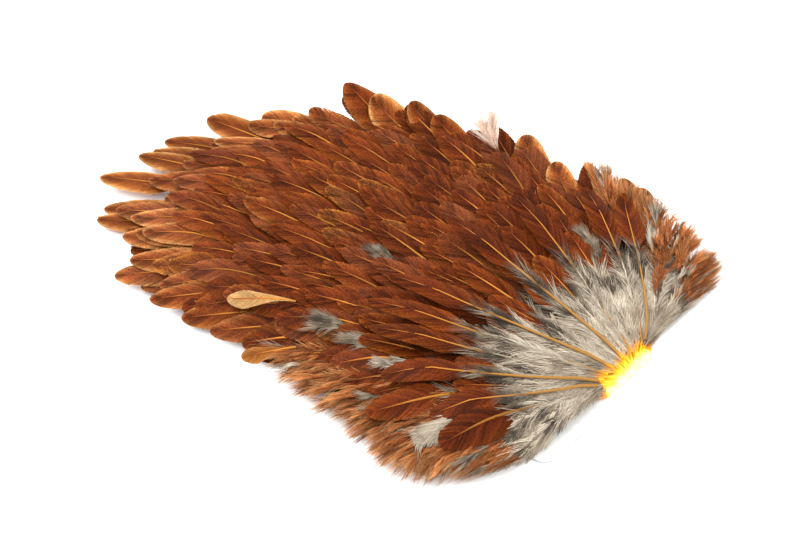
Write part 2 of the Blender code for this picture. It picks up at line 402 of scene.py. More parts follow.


# Dried fatty skin: scraped on the inside, waxy yellow where fat is left, so half glossy, with
# pimples at the follicles. Its colour is painted near-white at the cut as a highlight, and darker
# behind it as shade under the down.
skin, tree = new_material("dried_fatty_skin")
place = add_node(tree, "ShaderNodeTexCoord").outputs["Object"]
share = behind_cut(tree, 0, HIDE_COLOUR_REACH)
# Fat yellow, with a painted highlight at the cut and painted shade further back
fat = add_node(
    tree,
    "ShaderNodeValToRGB",
    {"Fac": share},
    [(away * MM / HIDE_COLOUR_REACH, colour) for away, colour in HIDE_FAT_HIGHLIGHT_AND_SHADE],
)
pimples = add_node(
    tree, "ShaderNodeTexVoronoi", {"Vector": place, "Scale": 1 / FOLLICLE_PITCH}
)
bump = add_node(
    tree,
    "ShaderNodeBump",
    {"Height": pimples.outputs["Distance"], "Strength": 0.7, "Distance": 0.4 * MM},
    invert=True,
)
link_surface(
    tree,
    add_node(
        tree,
        "ShaderNodeBsdfPrincipled",
        {
            "Base Color": fat.outputs["Color"],
            "Roughness": 0.42,
            "Normal": bump.outputs["Normal"],
        },
    ).outputs[0],
)

bm = bmesh.new()
bmesh.ops.create_grid(bm, x_segments=HIDE_ACROSS, y_segments=HIDE_ALONG, size=1)
cockle = random.Random("hide")
waves = [(cockle.uniform(3, 9), cockle.uniform(3, 9), cockle.uniform(0, 6)) for _ in range(6)]
for vert in bm.verts:
    u, along = vert.co.x, (vert.co.y + 1) / 2
    line = np.array(u)
    inner = on_fan(line, along * hide_reach(line))
    cut = HIDE_CUT + np.array((HIDE_CUT_HALF * u, 0))
    at_cut = max(0.0, 1 - along * HIDE_ALONG / 2)
    x, y = inner * (1 - at_cut) + cut * at_cut
    lift = sum(math.sin(a * u * 3 + b * along * 3 + c) for a, b, c in waves) / len(waves)
    vert.co = (x, y, HIDE_TOP + HIDE_COCKLE * lift)
hide = add_piece("hide_skin", bm, [skin], "hide", ["hide"])
shell = hide.modifiers.new("thickness", "SOLIDIFY")
shell.thickness = HIDE_THICKNESS - HIDE_COCKLE
shell.offset = -1

# Beads of fat that are left on the skin at the cut, each half sunk into it
bm = bmesh.new()
for _ in range(FAT_BEADS):
    u = cockle.uniform(-1, 1)
    radius = cockle.uniform(0.5, 1.2) * MM
    behind = cockle.uniform(0, 1) ** 1.5 * FAT_DEPTH
    bead = bmesh.ops.create_icosphere(bm, subdivisions=2, radius=radius)["verts"]
    stretch = (cockle.uniform(0.7, 1.1), cockle.uniform(0.9, 2.2), cockle.uniform(0.5, 0.9))
    turned = Matrix.Rotation(-u * cockle.uniform(0.5, 1.1), 3, "Z")
    where = (FAT_MIDDLE + FAT_HALF * u, HIDE_CUT[1] + 1 * MM + behind, HIDE_TOP)
    bmesh.ops.scale(bm, verts=bead, vec=stretch)
    bmesh.ops.rotate(bm, verts=bead, matrix=turned)
    bmesh.ops.translate(bm, verts=bead, vec=where)
add_piece("fat_beads", bm, [skin], "hide")

# ---- Saddle feathers ----
# The short rounded feathers of a hen's back, a few hundred in rings that overlap like shingles.
# Each is a golden shaft with satin red-brown barbs hooked into two vanes, lighter at their
# margins, and grey down near its root. The roots stand in the hide.

CARD_THICKNESS = 0.8 * MM
TOUCH_GAP = 0.35 * MM
BLADE_THICKNESS = 1.0 * MM
FIRST_ROOT = 4 * MM
FEATHER_LENGTH = 46 * MM
COURSE_STEP = 12.5 * MM
COURSES = 12
FEATHER_PITCH = 9 * MM
LAYER_STEP = 2.5 * MM
LAYER_SOFTNESS = 0.5
SPARE_LAYERS = 0.5
DROP_PAST_HIDE = 4 * MM
HIDE_DROP_RUN = 24 * MM
RIGHT_LIFT = 10 * MM
RIGHT_LIFT_RUN = 40 * MM
RIGHT_LIFT_FROM = (0.2, 0.42)
RIGHT_LIFT_TO = (0.75, 1.1)

# From the middle of a vane to its margin
SADDLE_BROWNS = ((0.0, "54200A"), (0.4, "672C0C"), (0.8, "763910"), (1.0, "8C4E1C"))
# The same on the thin pale feathers at the tail, lighter partly in their own colour and partly as
# painted glow of the light through them
PALE_BROWNS = ((0.0, "6C3518"), (0.45, "80451E"), (0.7, "9C5C2A"), (1.0, "D6A062"))
# Painted satin sheen: feathers of the highest tones are turned towards this mauve
MAUVE_SHEEN_BROWN = "5A3523"
LACED_CENTRE = ((0.38, "48270F"), (0.62, "7C4A1C"))
LACED_MARGIN = "A66A26"
# How far from the tip a feather is laced (mm)
LACED_FROM, LACED_TO = 5, 11
# From the darkest lock of down to the lightest
DOWN_GREYS = ((0.0, "443B32"), (0.15, "665A4B"), (0.4, "938471"), (0.7, "B0A28E"), (1.0, "C8BCA8"))
DOWN_BLOTCH = 7 * MM
# The grey root of a vane has only this darkest share of the greys
ROOT_SHADE = 0.2
# From the root of a loose barb to its end
LOOSE_SANDS = ((0.0, "562810"), (0.35, "80421C"), (0.7, "A86C3C"), (1.0, "CC9E70"))
# From the tip of a shaft to SHAFT_REACH mm from it
SHAFT_GOLDS = ((0.0, "6E3010"), (0.1, "8A481E"), (0.26, "B8742E"), (0.6, "9E6C2C"), (1.0, "946A36"))
SHAFT_REACH = 48.0
SHAFT_SIDES = 5
SHAFT_STEPS = 9
SHAFT_SHORT = 0.8  # mm from its end to the feather's tip
SHAFT_HEIGHT = 0.16  # mm of its middle above the vane
SHAFT_FOOT = 0.35  # share of its height at the root
SHAFT_TIP = 0.06  # mm, its radius at the tip
# Where along a hooked barb its points lie
BARB_SHARES = (0.0, 0.34, 0.7, 1.0)
# The share of its half width that a loose barb has at its points, from root to end
LOCK_WIDTHS = (0.0, 1.15, 1.1, 0.95, 0.7, 0.0)
LOCK_POINTS = len(LOCK_WIDTHS)

# How far the fat has stained down and quills, and the stain's colours over that reach, with a
# painted highlight that turns them near-white at the cut
STAIN_REACH = 7 * MM
FAT_STAINS_AND_HIGHLIGHT = ((0.0, "FFF6CC"), (0.3, "FFE052"), (0.55, "FDB414"), (0.8, "E08C10"))

VANE_MOTTLE = 2.6 * MM
SPECKLE = 0.8 * MM
GRAIN = 0.45 * MM
# Where a vane turns grey, mm from its tip
GREY_FROM, GREY_TO = 23, 34
# Painted glow of the light behind: the tail end is lighter, from here to there in y, up to this
# many times as bright
GLOW_FROM, GLOW_TO, TAIL_GLOW = 30 * MM, 80 * MM, 1.2

# The feathers are trimmed along the cut: what would hang past the first line ends by the second,
# with so much difference between feathers. The right half ends further back, and left of the
# corner's x the line slants back.
TRIM_FROM, TRIM_TO, TRIM_RAGGED = -84 * MM, -88 * MM, 3 * MM
TRIM_BACK, TRIM_BACK_FROM, TRIM_BACK_TO = 4.5 * MM, -6 * MM, 28 * MM
TRIM_CORNER, TRIM_SLANT = -43 * MM, 0.5
# Rings of the lowest layer, each so many mm short of the outline, the feathers in a ring, and
# the u between which they lie
UNDER_RINGS = (24, 14)
UNDER_FEATHERS = 50
UNDER_FROM, UNDER_TO = -0.85, 0.85
# The outermost feathers, from the left flank over the tail to the far edge, where they curl up,
# and one inside: course, u, tip (mm), width, degrees turned, curl, and how pale, partly as painted
# glow
OUTERMOST = (
    (6, -0.335, 124, 1.0, -3, 0.0, 0.15),
    (7, -0.275, 135, 1.0, -4, 0.0, 0.2),
    (7.5, -0.21, 148, 1.0, -6, 0.0, 0.25),
    (9, -0.14, 164, 1.1, -7, 0.0, 0.35),
    (9.5, -0.07, 168, 1.05, -4, 0.0, 0.4),
    (9.5, 0.325, 169, 1.05, 4, -5.0, 0.6),
    (9, 0.365, 155, 1.0, 3, -3.5, 0.3),
    (8, 0.478, 153, 1.35, 0, 4.0, 0.1),
    (8, 0.5, 144, 1.35, -2, 4.0, 0.8),
    (7, 0.54, 134, 1.0, 0, 3.0, 0.3),
    (6, 0.557, 125, 1.1, 0, 1.5, 0.1),
    (4.5, 0.66, 101, 1.1, 6, 2.0, 0.5),
    (3.5, 0.695, 87, 1.0, 6, 1.0, 0.6),
    (3, 0.755, 73, 1.0, 8, 0.0, 0.4),
    (2.5, 0.82, 75, 1.1, 12, 1.5, 0.5),
    (2, 0.86, 72, 1.0, 10, 0.5, 0.4),
    (6.5, 0.02, 136, 1.2, 0, 0.0, 0.1),
)
# The deepest notches of the outline: u and distance (mm)
NOTCHES = (
    (-0.205, 144),
    (-0.12, 151),
    (-0.075, 166),
    (0.03, 164),
    (0.115, 180),
    (0.185, 170),
    (0.24, 173),
    (0.56, 115),
    (0.715, 78),
)

# How far a tip is from its ring, how far a tip in a line's last ring stays back, and by how much
# the far edge falls short of its rings (mm)
TIP_SPREAD = 4
LAST_RING_SHORT = (8, 18)
FAR_EDGE_SHORT = 10
# A notch is so wide in u on each side, and past that it opens by so many mm for each 1 in u
NOTCH_HALF, NOTCH_OPENS = 0.015, 1500
LACED_SHARE = 0.05
# A feather droops and curls over so much of its tip
DROOP_RUN, CURL_RUN = 16 * MM, 18 * MM
# The least height of any barb above the table
LEAST_HEIGHT = 0.1 * MM
# The fan's width for each 1 in u is measured so far in u to both sides, and is at least this
FAN_PROBE, FAN_LEAST_WIDTH = 0.01, 10 * MM

# Places of the four finishes in a feather's materials
VANE, SHAFT, DOWN, LOOSE = 0, 1, 2, 3
# Lengths of the flat feathers, and where the shaft of most of them starts (mm)
ROUNDED_LENGTH, BLUNT_LENGTH, FRAYED_LENGTH = 46, 42, 43
DOWNY_LENGTH, LANCE_LENGTH = 42, 50
SHAFT_ROOT = 12


def smoothstep(value):
    share = np.clip(value, 0, 1)
    return share * share * (3 - 2 * share)


def course_tip(course):
    return FIRST_ROOT + course * COURSE_STEP + FEATHER_LENGTH


def courses_along(u):
    return (line_length(u) + COURSE_STEP / 2 - course_tip(0)) / COURSE_STEP


def layers_below(u, course, distance):
    """How many courses lie under this one there, as in the part's source."""
    grown = (distance - FIRST_ROOT - course * COURSE_STEP) / COURSE_STEP
    beyond = courses_along(u) + SPARE_LAYERS - course
    gap = np.maximum(LAYER_SOFTNESS - np.abs(grown - beyond), 0) / LAYER_SOFTNESS
    return np.minimum(grown, beyond) - LAYER_SOFTNESS * gap * gap / 4


def pile_base(u, distance):
    """Height of the lowest feather's upper face, as in the part's source."""
    past_hide = CARD_THICKNESS + TOUCH_GAP + BLADE_THICKNESS
    on_hide = past_hide + HIDE_THICKNESS + TOUCH_GAP
    to_end = np.maximum(0, line_length(u) - distance)
    dropped = smoothstep((distance - hide_reach(u) - DROP_PAST_HIDE) / HIDE_DROP_RUN)
    rise = smoothstep((u - RIGHT_LIFT_FROM[0]) / (RIGHT_LIFT_FROM[1] - RIGHT_LIFT_FROM[0]))
    fall = smoothstep((RIGHT_LIFT_TO[1] - u) / (RIGHT_LIFT_TO[1] - RIGHT_LIFT_TO[0]))
    curl = np.maximum(0, 1 - to_end / RIGHT_LIFT_RUN) ** 2
    return on_hide + (past_hide - on_hide) * dropped + RIGHT_LIFT * rise * fall * curl


def barb_layer(bm):
    """The attribute of a barb: mm from the feather's tip, share of the way out, and a tone."""
    layers = bm.verts.layers.float_vector
    return layers.get("barb") or layers.new("barb")


def add_strip(bm, points, half_widths, tilt, tags, finish):
    """A ribbon along these points, tilted across, with each point's barb attribute. Gives its
    vertices."""
    layer = barb_layer(bm)
    count = len(points)
    # The grid's vertices run along one side, then along the other.
    made = bmesh.ops.create_grid(bm, x_segments=count - 1, y_segments=1, size=0.5)["verts"]
    for i, vert in enumerate(made):
        at = i % count
        side = 1 if i >= count else -1
        direction = points[min(at + 1, count - 1)] - points[max(at - 1, 0)]
        across = Vector((-direction.y, direction.x, 0)).normalized() * half_widths[at]
        across.z = tilt * half_widths[at]
        vert.co = points[at] + side * across
        vert[layer] = tags[at]
    for face in {face for vert in made for face in vert.link_faces}:
        face.material_index = finish
    return made


def add_shaft(bm, length, root, base_radius, tip_radius, height=SHAFT_HEIGHT):
    """A tapered five-sided quill along +y, closed at its tip, in millimetres. It rises from its
    root to its height, then comes down to lie on the vane."""
    layer = barb_layer(bm)
    foot = SHAFT_FOOT * height
    ring = bmesh.ops.create_circle(
        bm, segments=SHAFT_SIDES, radius=base_radius, cap_ends=False
    )["verts"]
    bmesh.ops.rotate(bm, verts=ring, matrix=Matrix.Rotation(math.radians(-90), 3, "X"))
    bmesh.ops.translate(bm, verts=ring, vec=(0, root, foot))
    edges = list({edge for vert in ring for edge in vert.link_edges})
    for vert in ring:
        vert[layer] = (length - root, 0.0, 0.5)
    was, level = base_radius, foot
    for step in range(1, SHAFT_STEPS + 1):
        share = step / SHAFT_STEPS
        radius = base_radius + (tip_radius - base_radius) * share
        lower = height + (SHAFT_HEIGHT - height) * min(1.0, share * 1.5)
        grown = bmesh.ops.extrude_edge_only(bm, edges=edges)["geom"]
        ring = [item for item in grown if isinstance(item, bmesh.types.BMVert)]
        edges = [item for item in grown if isinstance(item, bmesh.types.BMEdge)]
        for vert in ring:
            vert.co.x *= radius / was
            vert.co.z = lower + (vert.co.z - level) * radius / was
            vert.co.y = root + (length - SHAFT_SHORT - root) * share
            vert[layer] = (length - vert.co.y, 0.0, 0.5)
        for face in {face for vert in ring for face in vert.link_faces}:
            face.material_index = SHAFT
        was, level = radius, lower
    bmesh.ops.pointmerge(bm, verts=ring, merge_co=(0, length - SHAFT_SHORT / 2, level))


def quadratic(start, middle, end, share):
    return start.lerp(middle, share).lerp(middle.lerp(end, share), share)


def add_vane(
    bm,
    rng,
    length,
    half,
    power=3.0,
    taper_from=0.55,
    vane=28,
    spacing=0.62,
    run=10.0,
    barb_half=0.28,
    loose=0.0,
    split=0.05,
    camber=0.45,
    bare=0.4,
    narrows=0.01,
    finish=VANE,
    tones=(0.0, 1.0),
):
    """The barbs on both sides of a shaft along +y, in millimetres. The outer edge widens over the
    first few, keeps its full half width as far as the taper, then rounds to the tip. Loose barbs
    stray from it."""
    for side in (-1, 1):
        y = length - vane
        slip, drift = 0.0, rng.random()
        while y < length - bare:
            slip = rng.uniform(-1.5, 1.8) if rng.random() < split else slip * 0.75
            slip *= min(1.0, (length - y) / 8)
            drift += rng.uniform(-0.3, 0.3) + 0.15 * (0.5 - drift)
            drift = min(1.0, max(0.0, drift))
            tone = min(1.0, max(0.0, drift + rng.uniform(-0.25, 0.25)))
            tone = tones[0] + (tones[1] - tones[0]) * tone
            forward = run * (1 - math.exp((y - length) / run))
            forward *= rng.uniform(1 - loose / 2, 1 + loose / 3)
            past = max(0.0, ((y + forward) / length - taper_from) / (1 - taper_from))
            wide = half * math.sqrt(max(0.002, 1 - min(1.0, past) ** power))
            wide *= min(1.0, 0.1 + (y - length + vane) / narrows)
            wide *= rng.uniform(0.985 - loose / 2.5, 1.015 + loose / 6)
            start = Vector((side * -0.05, y, 0.05))
            middle = Vector((side * wide * 0.55, y + forward * 0.4, 0.12))
            end = Vector((side * wide, y + forward + slip, -camber * (wide / half) ** 2))
            end.z += rng.uniform(-0.2, 1.0) * loose
            middle.x += rng.uniform(-0.4, 0.4) * loose
            points = [quadratic(start, middle, end, share) for share in BARB_SHARES]
            widths = [barb_half * k for k in (0.8, 1.0, 0.95, max(0.25, 0.8 - 2 * loose))]
            tags = [(length - point.y, share, tone) for point, share in zip(points, BARB_SHARES)]
            add_strip(bm, points, widths, rng.uniform(-0.18, 0.18), tags, finish)
            # Closer near the tip, where each barb ends well short of the last
            y += spacing * rng.uniform(0.85, 1.15) * min(1.0, max(0.4, (length - y) / 7))


def add_locks(
    bm,
    rng,
    length,
    stretch,
    locks,
    each,
    reach,
    half=0.075,
    angles=(14, 40),
    wave=0.35,
    bend=16,
    splay=9,
    scatter=1.5,
    rise=1.6,
    finish=DOWN,
    tones=(0.0, 1.0),
):
    """Loose wavy barbs in locks on both sides of a shaft, over this stretch of it. A lock bends
    by up to so many degrees, and its barbs splay by so many and scatter by so many mm."""
    pointed = {}
    for lock in range(locks):
        side = 1 if lock % 2 else -1
        root = stretch[0] + (stretch[1] - stretch[0]) * (lock + rng.random()) / locks
        angle = rng.uniform(*angles)
        lock_reach = reach * rng.uniform(0.6, 1.15)
        phase, bent = rng.uniform(0, 6.3), rng.uniform(-bend, bend)
        tone, height = rng.uniform(*tones), rng.uniform(0.1, rise)
        for _ in range(each):
            far = lock_reach * rng.uniform(0.6, 1.1)
            own = angle + rng.uniform(-splay, splay)
            y = root + rng.uniform(-scatter, scatter)
            sway = wave * rng.uniform(0.4, 1.3)
            points = []
            for k in range(LOCK_POINTS):
                t = k / (LOCK_POINTS - 1)
                turned = math.radians(own + bent * t)
                aside = sway * math.sin(phase + 6.5 * t) * t
                x = far * t * math.sin(turned) + aside * math.cos(turned)
                ahead = far * t * math.cos(turned) - aside * math.sin(turned)
                z = height * math.sin(math.pi * min(1.0, t * 1.1)) + 0.12 * t
                points.append(Vector((side * (0.1 + x), y + ahead, z)))
            widths = [half * k for k in LOCK_WIDTHS]
            own_tone = min(1.0, max(0.0, tone + rng.uniform(-0.09, 0.09)))
            tags = [
                (length - point.y, k / (LOCK_POINTS - 1), own_tone)
                for k, point in enumerate(points)
            ]
            ribbon = add_strip(bm, points, widths, rng.uniform(-0.5, 0.5), tags, finish)
            pointed[ribbon[0]] = ribbon[LOCK_POINTS]
            pointed[ribbon[LOCK_POINTS - 1]] = ribbon[-1]
    # Each barb comes to a point at both ends.
    bmesh.ops.weld_verts(bm, targetmap=pointed)


def template(name, build):
    """A flat feather along +y, in millimetres, and its points."""
    bm = bmesh.new()
    build(bm, random.Random(name))
    mesh = bpy.data.meshes.new(name)
    bm.to_mesh(mesh)
    bm.free()
    mesh.shade_smooth()
    points = np.empty(len(mesh.vertices) * 3)
    mesh.vertices.foreach_get("co", points)
    return mesh, points.reshape(-1, 3)


def build_rounded(bm, rng):
    """A feather of the back, with grey down at its root and a few barbs unhooked."""
    length = ROUNDED_LENGTH
    add_vane(bm, rng, length, 5.2, power=2.4, taper_from=0.64, loose=0.05)
    add_shaft(bm, length, SHAFT_ROOT, 0.56, SHAFT_TIP)
    add_locks(bm, rng, length, (8, 20), 8, 4, 9, half=0.12, rise=0.6, tones=(0.0, 0.5))
    add_locks(
        bm, rng, length, (24, 41), 7, 3, 7, half=0.07, angles=(20, 44), rise=0.5, finish=VANE
    )


def build_blunt(bm, rng):
    """A feather of the far edge: broad to its end, which droops at the sides."""
    length = BLUNT_LENGTH
    add_vane(bm, rng, length, 4.8, taper_from=0.72, run=7, split=0.0, camber=1.0)
    add_shaft(bm, length, SHAFT_ROOT, 0.46, SHAFT_TIP)


def build_frayed(bm, rng):
    """A feather of the flanks that has lost most of its hooks."""
    length = FRAYED_LENGTH
    add_vane(bm, rng, length, 4.8, vane=25, spacing=0.7, run=9, loose=0.3, split=0.15)
    add_locks(
        bm, rng, length, (18, 42), 32, 6, 8, half=0.06, angles=(4, 26), rise=0.7, finish=LOOSE
    )
    add_shaft(bm, length, SHAFT_ROOT, 0.44, SHAFT_TIP)
    add_locks(bm, rng, length, (6, 20), 8, 5, 10, half=0.1, rise=0.6, tones=(0.0, 0.3))


def add_down(bm, rng, length, stretch, locks, rise=1.3):
    """Pale down, combed nearly parallel."""
    add_locks(
        bm,
        rng,
        length,
        stretch,
        locks,
        8,
        12,
        half=0.065,
        angles=(5, 34),
        wave=0.3,
        splay=4,
        scatter=3,
        rise=rise,
        tones=(0.4, 1.0),
    )


def add_slate(bm, rng, length, stretch, locks):
    """Slate streaks, where the down meets the brown of the tip."""
    add_locks(
        bm,
        rng,
        length,
        stretch,
        locks,
        8,
        11,
        half=0.075,
        angles=(4, 30),
        wave=0.35,
        splay=4,
        scatter=2,
        rise=1.4,
        tones=(0.0, 0.3),
    )


def build_downy(bm, rng):
    """A feather of the corners next to the cut, down with unhooked brown barbs at its end."""
    length = DOWNY_LENGTH
    add_vane(
        bm,
        rng,
        length,
        7.0,
        vane=36,
        spacing=0.9,
        barb_half=0.5,
        loose=0.3,
        bare=14,
        finish=DOWN,
        tones=(0.4, 0.7),
    )
    add_shaft(bm, length, 1, 0.36, SHAFT_TIP, 0.3)
    add_down(bm, rng, length, (3, 30), 60)
    add_slate(bm, rng, length, (16, 35), 20)
    add_locks(bm, rng, length, (24, 40), 40, 7, 9, half=0.055, angles=(4, 34), finish=LOOSE)


def build_lance(bm, rng):
    """A feather of the tail end, longer, with a pointed tip."""
    length = LANCE_LENGTH
    add_vane(bm, rng, length, 4.9, power=2.1, taper_from=0.68, vane=30, run=11, split=0.04)
    add_shaft(bm, length, SHAFT_ROOT, 0.42, SHAFT_TIP)


def lay_feather(
    bm,
    made,
    u,
    course,
    tip,
    width=1.0,
    length=1.0,
    yaw=0.0,
    roll=0.0,
    droop=0.8,
    curl=0.0,
    raised=0.0,
    tags=(0.5, 0.0, 0.0),
):
    """Bends a copy of a flat feather along its growth line, at its course's height, and adds it.
    Yaw turns it about its root, roll tips it sideways, droop and curl lower and lift its tip.
    Tags are its tone, how far it is laced, and how far it is pale, partly as painted glow of the
    light through it."""
    mesh, points = made
    x = points[:, 0] * MM * width
    y = points[:, 1] * MM * length
    reach = points[:, 1].max() * MM * length
    x, y = x * math.cos(yaw) + y * math.sin(yaw), y * math.cos(yaw) - x * math.sin(yaw)
    distance = tip - reach + y
    line = np.full(len(points), u)
    here = on_fan(line, np.maximum(distance, 0))
    ahead = on_fan(line, np.maximum(distance, 0) + FAN_SPACING) - here
    ahead /= np.linalg.norm(ahead, axis=1, keepdims=True)
    across = np.stack((ahead[:, 1], -ahead[:, 0]), -1)
    probed = on_fan(line + FAN_PROBE, distance) - on_fan(line - FAN_PROBE, distance)
    fan_width = np.linalg.norm(probed, axis=1) / (2 * FAN_PROBE)
    own_line = u + x / np.maximum(fan_width, FAN_LEAST_WIDTH)
    plan = here + across * x[:, None] + ahead * np.minimum(distance, 0)[:, None]
    trim = TRIM_FROM + TRIM_RAGGED * (tags[0] - 0.5)
    trim = trim + TRIM_SLANT * np.maximum(TRIM_CORNER - plan[:, 0], 0)
    rightward = (plan[:, 0] - TRIM_BACK_FROM) / (TRIM_BACK_TO - TRIM_BACK_FROM)
    trim = trim + TRIM_BACK * smoothstep(rightward)
    past = np.maximum(trim - plan[:, 1], 0) / (TRIM_FROM - TRIM_TO)
    plan[:, 1] = np.maximum(plan[:, 1], trim - (TRIM_FROM - TRIM_TO) * (1 - np.exp(-past)))
    to_tip = reach - y
    z = pile_base(own_line, distance) + LAYER_STEP * layers_below(own_line, course, distance)
    z += points[:, 2] * MM + roll * x + raised
    z -= droop * MM * smoothstep(1 - to_tip / DROOP_RUN)
    z += curl * MM * np.maximum(0, 1 - to_tip / CURL_RUN) ** 1.6
    z = np.maximum(z, LEAST_HEIGHT)
    copy = mesh.copy()
    copy.vertices.foreach_set("co", np.column_stack((plan, z)).astype(np.float32).ravel())
    attribute = copy.attributes.new("feather", "FLOAT_VECTOR", "POINT")
    attribute.data.foreach_set("vector", np.tile(np.array(tags, np.float32), len(points)))
    bm.from_mesh(copy)
    bpy.data.meshes.remove(copy)


def course_places(course, pitch, offset=0.0):
    """The u of feathers an even pitch apart at mid feather, as in the part's source."""
    middle = FIRST_ROOT + course * COURSE_STEP + FEATHER_LENGTH / 2
    every = np.linspace(-1, 1, 241)
    reached = every if course == 0 else every[courses_along(every) >= course]
    points = on_fan(reached, np.full(len(reached), middle))
    walked = np.concatenate(([0], np.cumsum(np.linalg.norm(np.diff(points, axis=0), axis=1))))
    gaps = round(walked[-1] / pitch)
    stops = walked[-1] * (np.arange(gaps + 1 if offset == 0 else gaps) + offset) / gaps
    return [reached[min(np.searchsorted(walked, stop), len(reached) - 1)] for stop in stops]


def barb_and_feather(tree):
    """The parts of the two attributes that a feather's meshes carry."""
    for name in ("barb", "feather"):
        attribute = add_node(tree, "ShaderNodeAttribute", attribute_name=name)
        yield add_node(tree, "ShaderNodeSeparateXYZ", {0: attribute.outputs["Vector"]}).outputs


def shuffled(tree, value, times):
    """Another number from 0 to 1 for the same feather."""
    more = add_node(tree, "ShaderNodeMath", {0: value, 1: times}, operation="MULTIPLY").outputs[0]
    return add_node(tree, "ShaderNodeMath", {0: more}, operation="FRACT").outputs[0]


def vane_material(name, browns, clearness, contrast=0.5):
    """Keratin barbs hooked side by side: satin, and thin enough for some light to come through.
    The colour runs from the shaft to a lighter margin, and turns to grey towards the root. The
    contrast is that between neighbouring barbs."""
    material, tree = new_material(name)
    barb, feather = barb_and_feather(tree)
    place = add_node(tree, "ShaderNodeTexCoord").outputs["Object"]
    mottle = add_node(
        tree, "ShaderNodeTexNoise", {"Vector": place, "Scale": 1 / VANE_MOTTLE, "Detail": 3}
    ).outputs["Fac"]
    outward = add_node(
        tree,
        "ShaderNodeMath",
        {0: mottle, 1: 0.4, 2: barb[1]},
        operation="MULTIPLY_ADD",
    ).outputs[0]
    near_margin = add_node(
        tree,
        "ShaderNodeMapRange",
        {"Value": outward, "From Min": 0.2, "From Max": 1.2},
    ).outputs["Result"]
    # Paler colours, partly painted glow of the light through thin feathers
    pale_and_glowing = add_node(tree, "ShaderNodeValToRGB", {"Fac": near_margin}, PALE_BROWNS)
    # Every feather has its own share of the lighter margin, unlike its tone
    margin = add_node(
        tree,
        "ShaderNodeMapRange",
        {"Value": shuffled(tree, feather[0], 3.9), "To Min": 0.45, "To Max": 1.0},
    ).outputs["Result"]
    near_margin = add_node(
        tree, "ShaderNodeMath", {0: near_margin, 1: margin}, operation="MULTIPLY"
    ).outputs[0]
    brown = add_node(tree, "ShaderNodeValToRGB", {"Fac": near_margin}, browns).outputs["Color"]
    # Painted sheen: the feathers of the highest tones are turned half way to mauve, as a pinkish
    # gleam
    painted_sheen = add_node(
        tree,
        "ShaderNodeMapRange",
        {"Value": feather[0], "From Min": 0.65, "From Max": 1.0, "To Max": 0.5},
    ).outputs["Result"]
    brown = add_node(
        tree,
        "ShaderNodeMix",
        {0: painted_sheen, 6: brown, 7: srgb(MAUVE_SHEEN_BROWN)},
        data_type="RGBA",
    ).outputs[2]
    brown = add_node(
        tree,
        "ShaderNodeMix",
        {0: feather[2], 6: brown, 7: pale_and_glowing.outputs["Color"]},
        data_type="RGBA",
    ).outputs[2]
    speckle = add_node(
        tree, "ShaderNodeTexNoise", {"Vector": place, "Scale": 1 / SPECKLE, "Detail": 1}
    ).outputs["Fac"]
    centre = add_node(tree, "ShaderNodeValToRGB", {"Fac": speckle}, LACED_CENTRE).outputs["Color"]
    rim = add_node(
        tree,
        "ShaderNodeMapRange",
        {"Value": barb[1], "From Min": 0.78, "From Max": 0.94},
    ).outputs["Result"]
    laced = add_node(
        tree,
        "ShaderNodeMix",
        {0: rim, 6: centre, 7: srgb(LACED_MARGIN)},
        data_type="RGBA",
    ).outputs[2]
    tipward = add_node(
        tree,
        "ShaderNodeMapRange",
        {"Value": barb[0], "From Min": LACED_TO, "From Max": LACED_FROM},
    ).outputs["Result"]
    how_laced = add_node(
        tree, "ShaderNodeMath", {0: feather[1], 1: tipward}, operation="MULTIPLY"
    ).outputs[0]
    coloured = add_node(
        tree, "ShaderNodeMix", {0: how_laced, 6: brown, 7: laced}, data_type="RGBA"
    ).outputs[2]
    shade = add_node(
        tree, "ShaderNodeMath", {0: barb[2], 1: ROOT_SHADE}, operation="MULTIPLY"
    ).outputs[0]
    grey = add_node(tree, "ShaderNodeValToRGB", {"Fac": shade}, DOWN_GREYS).outputs["Color"]
    rootward = add_node(
        tree,
        "ShaderNodeMapRange",
        {"Value": barb[0], "From Min": GREY_FROM, "From Max": GREY_TO},
    ).outputs["Result"]
    hue = add_node(
        tree, "ShaderNodeMix", {0: rootward, 6: coloured, 7: grey}, data_type="RGBA"
    ).outputs[2]
    barb_tone = add_node(
        tree,
        "ShaderNodeMapRange",
        {"Value": barb[2], "To Min": 1 - contrast, "To Max": 1 + contrast},
    ).outputs["Result"]
    feather_tone = add_node(
        tree, "ShaderNodeMapRange", {"Value": feather[0], "To Min": 0.75, "To Max": 1.2}
    ).outputs["Result"]
    tailward = add_node(tree, "ShaderNodeSeparateXYZ", {0: place}).outputs["Y"]
    # Painted glow of the light behind, lighter towards the tail end
    painted_glow = add_node(
        tree,
        "ShaderNodeMapRange",
        {
            "Value": tailward,
            "From Min": GLOW_FROM,
            "From Max": GLOW_TO,
            "To Min": 1.0,
            "To Max": TAIL_GLOW,
        },
    ).outputs["Result"]
    tone = add_node(
        tree, "ShaderNodeMath", {0: barb_tone, 1: feather_tone}, operation="MULTIPLY"
    ).outputs[0]
    tone = add_node(
        tree, "ShaderNodeMath", {0: tone, 1: painted_glow}, operation="MULTIPLY"
    ).outputs[0]
